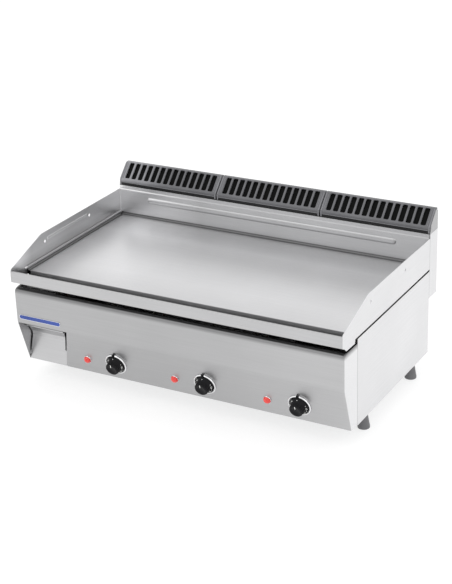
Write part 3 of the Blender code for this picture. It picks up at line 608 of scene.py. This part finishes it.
def dial_print(side, place, looks):
    """Scale numbers and dots on the knob's skirt, and the pointer on its grip."""
    bm = bmesh.new()
    seat = Matrix.Translation((0, 0.0207, 0.0087)) @ DIAL_SLOPE
    for step in DIAL_NUMBERS:
        mesh = numeral(str(50 * step), 0.0048)
        turn = Matrix.Rotation(math.radians(DIAL_TURN * step), 4, "Z")
        mesh.transform(place @ turn @ seat)
        bm.from_mesh(mesh)
        bpy.data.meshes.remove(mesh)
    seat = Matrix.Translation((0, 0.0212, 0.0083)) @ DIAL_SLOPE
    for step in (0, *DIAL_NUMBERS):
        angle = DIAL_TURN * step + (DIAL_TURN / 2 if step else 0)
        turn = Matrix.Rotation(math.radians(angle), 4, "Z")
        add_turned(bm, [(0.0009, 0.0), (0.0008, 0.0002), (0.0, 0.0003)], place @ turn @ seat, 12)
    top = GRIP_TOP - 0.0001
    inner_end, outer_end = (place @ Vector((0, reach, top)) for reach in (0.0070, 0.0150))
    add_rib(bm, inner_end, outer_end, 0.0018, 0.0004, PANEL_OUT)
    piece("dial_print_" + side, bm, [looks["white"]], "knob_assembly_" + side, smooth=False)


def knob(side, x, looks):
    """A fluted grip on a sloping skirt."""
    place = panel_frame(x, KNOB_HEIGHT)
    top = GRIP_TOP
    profile = [
        (0.0, top - 0.0012), (0.0090, top - 0.0012), (0.0102, top - 0.0005), (0.0118, top),
        (GRIP_RADIUS - 0.0020, top - 0.0002), (GRIP_RADIUS - 0.0007, top - 0.0012),
        (GRIP_RADIUS, top - 0.0032), (GRIP_RADIUS + 0.0004, 0.0125), (GRIP_RADIUS + 0.0010, 0.0106),
        (GRIP_RADIUS + 0.0016, 0.0098), (SKIRT_RADIUS - 0.0022, 0.0074),
        (SKIRT_RADIUS - 0.0007, 0.0067), (SKIRT_RADIUS, 0.0058), (SKIRT_RADIUS, 0.0047),
        (SKIRT_RADIUS - 0.0005, 0.0045), (0.0036, 0.0045),
    ]
    bm = bmesh.new()
    add_turned(bm, profile, place, 96, flutes=(5, 7, 16, 0.0011))
    made = piece(
        "knob_grip_" + side, bm, [looks["black"]], "knob_assembly_" + side)
    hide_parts("knob_" + side)
    dial_print(side, place, looks)


def knob_ring(side, x, looks):
    """The chromed ring behind the knob, and the index mark at its top."""
    place = panel_frame(x, KNOB_HEIGHT)
    profile = [
        (0.0060, GAP), (RING_RADIUS - 0.0004, GAP), (RING_RADIUS, 0.0008), (RING_RADIUS, 0.0020),
        (RING_RADIUS - 0.0006, 0.0034), (RING_RADIUS - 0.0015, 0.0042),
        (RING_RADIUS - 0.0026, 0.0043), (SKIRT_RADIUS + 0.0011, 0.0038),
        (SKIRT_RADIUS + 0.0006, 0.0028), (SKIRT_RADIUS + 0.0002, 0.0022),
        (0.0060, 0.0022), (0.0060, GAP),
    ]
    bm = bmesh.new()
    add_turned(bm, profile, place, 72)
    made = piece("knob_ring_" + side, bm, [looks["chrome"]], "casing")
    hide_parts("knob_bezel_" + side)
    bm = bmesh.new()
    outline = [(-0.0045, 0.0258), (0.0045, 0.0258), (0.0033, 0.0308), (-0.0033, 0.0308)]
    add_prism(bm, outline, 0.0008, 0.0050, place)
    bmesh.ops.bevel(bm, geom=bm.edges[:], offset=0.0004, segments=2, affect="EDGES", profile=0.5)
    piece("knob_index_" + side, bm, [looks["black"]], "casing")


def pilot_lamp(side, x, looks):
    """A domed red lens in a bright rim, with its nut and barrel behind the panel."""
    profile = [
        (0.0, 0.0100), (0.0030, 0.0095), (0.0057, 0.0083), (0.0080, 0.0062), (0.0093, 0.0038),
        (0.0097, 0.0018), (0.0099, 0.0025), (0.0103, 0.0026), (0.0107, 0.0020), (0.0109, 0.0010),
        (0.0109, GAP), (0.0058, GAP), (0.0058, -0.0019), (0.0085, -0.0019), (0.0085, -0.0060),
        (0.0058, -0.0060), (0.0058, -0.0260), (0.0, -0.0260),
    ]
    bands = [0] * 5 + [1] * 6 + [2] * 6
    bm = bmesh.new()
    add_turned(bm, profile, panel_frame(x + LAMP_OFFSET, LAMP_HEIGHT), 48, bands)
    finishes = [looks["lens"], looks["chrome"], looks["pale"]]
    made = piece("lamp_" + side, bm, finishes, "casing")
    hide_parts("pilot_lamp_" + side)


# ---------------------------------------------------------------- sheet metal details
def pressed_ribs(looks):
    """Ribs pressed into the rear splash and the guards, and the front end of each ledge's bead."""
    bm = bmesh.new()
    half, height = 0.3615, 0.3346
    add_rib(bm, (-half, SPLASH_Y, height), (half, SPLASH_Y, height), 0.0170, 0.0036, TO_FRONT)
    piece("splash_rib", bm, [looks["splash"]], "casing")
    for side, sign in (("left", -1), ("right", 1)):
        bm = bmesh.new()
        x = sign * INNER_X
        add_rib(bm, (x, -0.120, 0.3365), (x, 0.065, 0.3365), 0.0085, 0.0013, (-sign, 0, 0))
        add_rib(bm, (x, -0.2228, 0.2930), (x, -0.2080, 0.2930), 0.0070, 0.0039, (-sign, 0, 0))
        piece("guard_rib_" + side, bm, [looks["guard"]], "casing")


def cove_outline(foot, head):
    """A concave fillet from a level edge at foot up to an upright face at head."""
    outline = []
    for i in range(9):
        t = i / 8
        outline.append((
            foot[0] + (head[0] - foot[0]) * (1 - (1 - t) ** 2),
            foot[1] + (head[1] - foot[1]) * t ** 2))
    return outline + [(head[0], foot[1] - 0.0008), (foot[0], foot[1] - 0.0008)]


def coves(looks):
    """Fillets that close the joints round the plate, at the rear and at both sides, darkened as
    painted shade in the joints.
    """
    bm = bmesh.new()
    add_prism(bm, cove_outline((0.2208, 0.2849), (0.2264, 0.2912)), -0.4460, 0.4460, ALONG_X)
    for sign in (-1, 1):
        outline = cove_outline((0.4403, 0.2849), (0.4464, 0.2899))
        add_prism(bm, [(sign * a, b) for a, b in outline], -0.2112, 0.2210, ALONG_Y)
    piece("plate_coves", bm, [looks["cove"]], "casing")


def corner_welds(looks):
    """Dressed weld fillets in the tray's two rear corners."""
    radius = 0.0022
    for side, sign in (("left", -1), ("right", 1)):
        outline = [(sign * INNER_X, SPLASH_Y)]
        for i in range(7):
            turn = math.radians(15 * i)
            outline.append((
                sign * (INNER_X - radius + radius * math.cos(turn)),
                SPLASH_Y - radius + radius * math.sin(turn)))
        bm = bmesh.new()
        add_prism(bm, outline, 0.2745, 0.3560)
        piece("corner_weld_" + side, bm, [looks["weld"]], "casing")


def grille_trims(looks):
    """Folded end flanges and a lip bead on each flue grille, in a lighter enamel as painted
    highlight.
    """
    (low_y, low_z), (high_y, high_z) = GRILLE_LOW, GRILLE_HIGH
    out = (0, -1, 1)
    for side, (left, right) in zip(SIDES, GRILLE_ENDS):
        bm = bmesh.new()
        for x in (left + 0.0026, right - 0.0026):
            add_rib(bm, (x, low_y + 0.0004, low_z + 0.0004), (x, high_y - 0.0012, high_z - 0.0012),
                    0.0040, 0.0014, out)
            add_rib(bm, (x, low_y, 0.3680), (x, low_y, low_z), 0.0040, 0.0010, TO_FRONT)
        for x in (left + 0.0080, right - 0.0080):
            add_rib(bm, (x, low_y + 0.0030, low_z + 0.0030), (x, high_y - 0.0030, high_z - 0.0030),
                    0.0016, 0.0007, out)
        bead_z = 0.3757
        add_rib(bm, (left + 0.005, low_y, bead_z), (right - 0.005, low_y, bead_z),
                0.0020, 0.0007, TO_FRONT)
        piece("grille_trim_" + side, bm, [looks["enamel_ridge_highlight"]], "grille_" + side)


def grille_slot_shades(looks):
    """Near-black sheets behind the slots, folded at the foot: painted shade for the dark inside of
    the flue.
    """
    outline = [
        (0.2352, 0.3740), (0.2362, 0.3740), (0.2362, 0.3780), (0.2370, 0.3794), (0.2720, 0.4144),
        (0.2760, 0.4144), (0.2760, 0.4152), (0.2717, 0.4152), (0.2360, 0.3797), (0.2352, 0.3783),
    ]
    for side, (left, right) in zip(SIDES, GRILLE_ENDS):
        bm = bmesh.new()
        add_prism(bm, outline, left + 0.0040, right - 0.0040, ALONG_X)
        piece("grille_slot_shade_" + side, bm, [looks["slot_shade"]], "grille_" + side,
              smooth=False)


def drawer_hem(looks):
    """The rolled edge of the drawer's finger lip."""
    ends = (-0.4454, -0.4444, -0.3336, -0.3326)
    bm = bmesh.new()
    add_tube(bm, [Vector((x, -0.2381, 0.1463)) for x in ends], 0.0026, 16)
    piece("drawer_hem", bm, [looks["drawer"]], "drawer")


def feet(looks):
    """Tapered levelling feet on threaded stems."""
    crest, root, pitch = 0.0050, 0.0044, 0.0018
    stem = [(0.0, 0.0740), (root, 0.0740), (crest, 0.0733)]
    for i in range(14):
        z = 0.0725 - pitch * i
        stem += [(crest, z), (root, z - pitch / 2)]
    profile = stem + [
        (0.0050, 0.0468), (0.0078, 0.0465), (0.0083, 0.0455), (0.0112, 0.0260), (0.0136, 0.0120),
        (0.0147, 0.0070), (0.0150, 0.0058), (0.0150, 0.0012), (0.0147, 0.0004), (0.0138, 0.0),
        (0.0120, 0.0), (0.0115, 0.0006), (0.0, 0.0006),
    ]
    bands = [1] * len(stem) + [0] * (len(profile) - len(stem) - 1)
    for name, (x, y) in FEET.items():
        bm = bmesh.new()
        add_turned(bm, profile, Matrix.Translation((x, y, 0)), 40, bands)
        finishes = [looks["foot"], looks["zinc"]]
        made = piece(
            "levelling_foot_" + name, bm, finishes, "foot_assembly_" + name)
        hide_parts("foot_" + name)


def drain_nuts(looks):
    """Two bright nuts under the gutter, seen in the gap below the trim."""
    profile = [
        (0.0, 0.0), (0.0040, 0.0), (0.0042, 0.0003), (0.0042, 0.0027), (0.0038, 0.0031),
        (0.0022, 0.0031), (0.0022, 0.0048), (0.0, 0.0050),
    ]
    bm = bmesh.new()
    for x in NUT_X:
        place = Matrix.Translation((x, -0.2445, 0.2585)) @ Matrix.Rotation(math.pi, 4, "X")
        add_turned(bm, profile, place, 24, sides=6)
    piece("drain_nuts", bm, [looks["bright_zinc"]], "casing", smooth=False)


def badge_rim(looks):
    """A bright rim round the blank name plate."""
    left, right, middle, half = -0.440, -0.318, 0.1835, 0.0055
    rim = []
    for centre, start in ((right - half, -90), (left + half, 90)):
        for i in range(9):
            turn = math.radians(start + 22.5 * i)
            rim.append(Vector((
                centre + half * math.cos(turn), -0.2708, middle + half * math.sin(turn))))
    bm = bmesh.new()
    steps = 8
    rows = []
    for i, point in enumerate(rim):
        ahead, behind = rim[(i + 1) % len(rim)], rim[i - 1]
        sideways = (ahead - behind).normalized().cross(Vector(TO_REAR)) * 0.0006
        proud = Vector(TO_REAR) * 0.0005
        turns = [math.tau * k / steps for k in range(steps)]
        rows.append([
            bm.verts.new(point + sideways * math.cos(turn) + proud * math.sin(turn))
            for turn in turns])
    for i, row in enumerate(rows):
        after = rows[(i + 1) % len(rows)]
        for k in range(steps):
            j = (k + 1) % steps
            bm.faces.new((row[k], row[j], after[j], after[k]))
    piece("badge_rim", bm, [looks["chrome"]], "casing")


def rear_details(looks):
    """Louvre hoods, screws and a blank label on the rear sheet."""
    y = BACK_PANEL_Y
    half = 0.0125
    bm = bmesh.new()
    for x in [-0.30 + 0.04 * i for i in range(12)]:
        for z in (0.1555, 0.1705):
            add_rib(bm, (x - half, y, z), (x + half, y, z), 0.0065, 0.0032, TO_REAR)
    piece("louvre_hoods", bm, [looks["sheet_x"]], "casing")
    bm = bmesh.new()
    for x in (-0.44, -0.22, 0.0, 0.22, 0.44):
        for z in (0.062, 0.186):
            add_screw(bm, facing(TO_REAR, (x, y, z)))
    piece("rear_screws", bm, [looks["bright_zinc"]], "casing")
    bm = bmesh.new()
    label = [(0.155, 0.080), (0.245, 0.080), (0.245, 0.130), (0.155, 0.130)]
    add_prism(bm, label, -0.2303, -0.2298, AGAINST_Y)
    bmesh.ops.bevel(bm, geom=bm.edges[:], offset=0.00015, segments=1, affect="EDGES")
    piece("blank_rating_plate", bm, [looks["plate_label"]], "casing", smooth=False)


def build_details(looks):
    """Every piece that is added to the CAD nodes or stands for one."""
    for side, x in zip(SIDES, KNOB_X):
        knob(side, x, looks)
        knob_ring(side, x, looks)
        pilot_lamp(side, x, looks)
    pressed_ribs(looks)
    coves(looks)
    corner_welds(looks)
    grille_trims(looks)
    grille_slot_shades(looks)
    drawer_hem(looks)
    feet(looks)
    drain_nuts(looks)
    badge_rim(looks)
    rear_details(looks)


# ---------------------------------------------------------------- studio
def studio():
    """A pale floor, an even sky and three soft area lights."""
    mesh = bpy.data.meshes.new("floor")
    bm = bmesh.new()
    bmesh.ops.create_grid(bm, x_segments=1, y_segments=1, size=14.0)
    bm.to_mesh(mesh)
    bm.free()
    floor = bpy.data.objects.new("floor", mesh)
    bpy.context.scene.collection.objects.link(floor)
    shader = Shader(
        "floor_look", (0.38, 0.38, 0.38), 0.8,
        Emission_Color=(1.0, 1.0, 1.0, 1.0), Emission_Strength=FLOOR_GLOW)
    shader.colour(shader.blend(
        shader.spread(shader.noise(0.6), 0.0, 1.0), (0.375, 0.375, 0.375), (0.385, 0.385, 0.385)))
    mesh.materials.append(shader.material)
    world = bpy.data.worlds.new("studio")
    bpy.context.scene.world = world
    world.use_nodes = True
    sky = world.node_tree.nodes["Background"]
    sky.inputs["Color"].default_value = (1.0, 1.0, 1.0, 1.0)
    sky.inputs["Strength"].default_value = SKY_STRENGTH
    for name, place, size, power in LIGHTS:
        light = bpy.data.lights.new(name, "AREA")
        light.shape = "SQUARE"
        light.size = size
        light.energy = power
        lamp = bpy.data.objects.new(name, light)
        lamp.location = place
        aim = LIT_POINT - Vector(place)
        lamp.rotation_euler = aim.to_track_quat("-Z", "Y").to_euler()
        bpy.context.scene.collection.objects.link(lamp)


def camera():
    """The camera, at the photograph's angle."""
    back = Vector((
        math.sin(AZIMUTH) * math.cos(ELEVATION), -math.cos(AZIMUTH) * math.cos(ELEVATION),
        math.sin(ELEVATION)))
    right = Vector((math.cos(AZIMUTH), math.sin(AZIMUTH), 0))
    up = back.cross(right)
    right = right * math.cos(ROLL) + up * math.sin(ROLL)
    up = back.cross(right)
    data = bpy.data.cameras.new("photographer")
    data.lens = LENS_MM
    data.sensor_width = 36.0
    data.clip_end = 60.0
    eye = bpy.data.objects.new("photographer", data)
    turn = Matrix((right, up, back)).transposed().to_4x4()
    eye.matrix_world = Matrix.Translation(TARGET + back * DISTANCE) @ turn
    bpy.context.scene.collection.objects.link(eye)
    bpy.context.scene.camera = eye


looks = look_set()
dress_nodes(looks)
build_details(looks)
studio()
camera()
bpy.context.scene.view_settings.view_transform = "Standard"
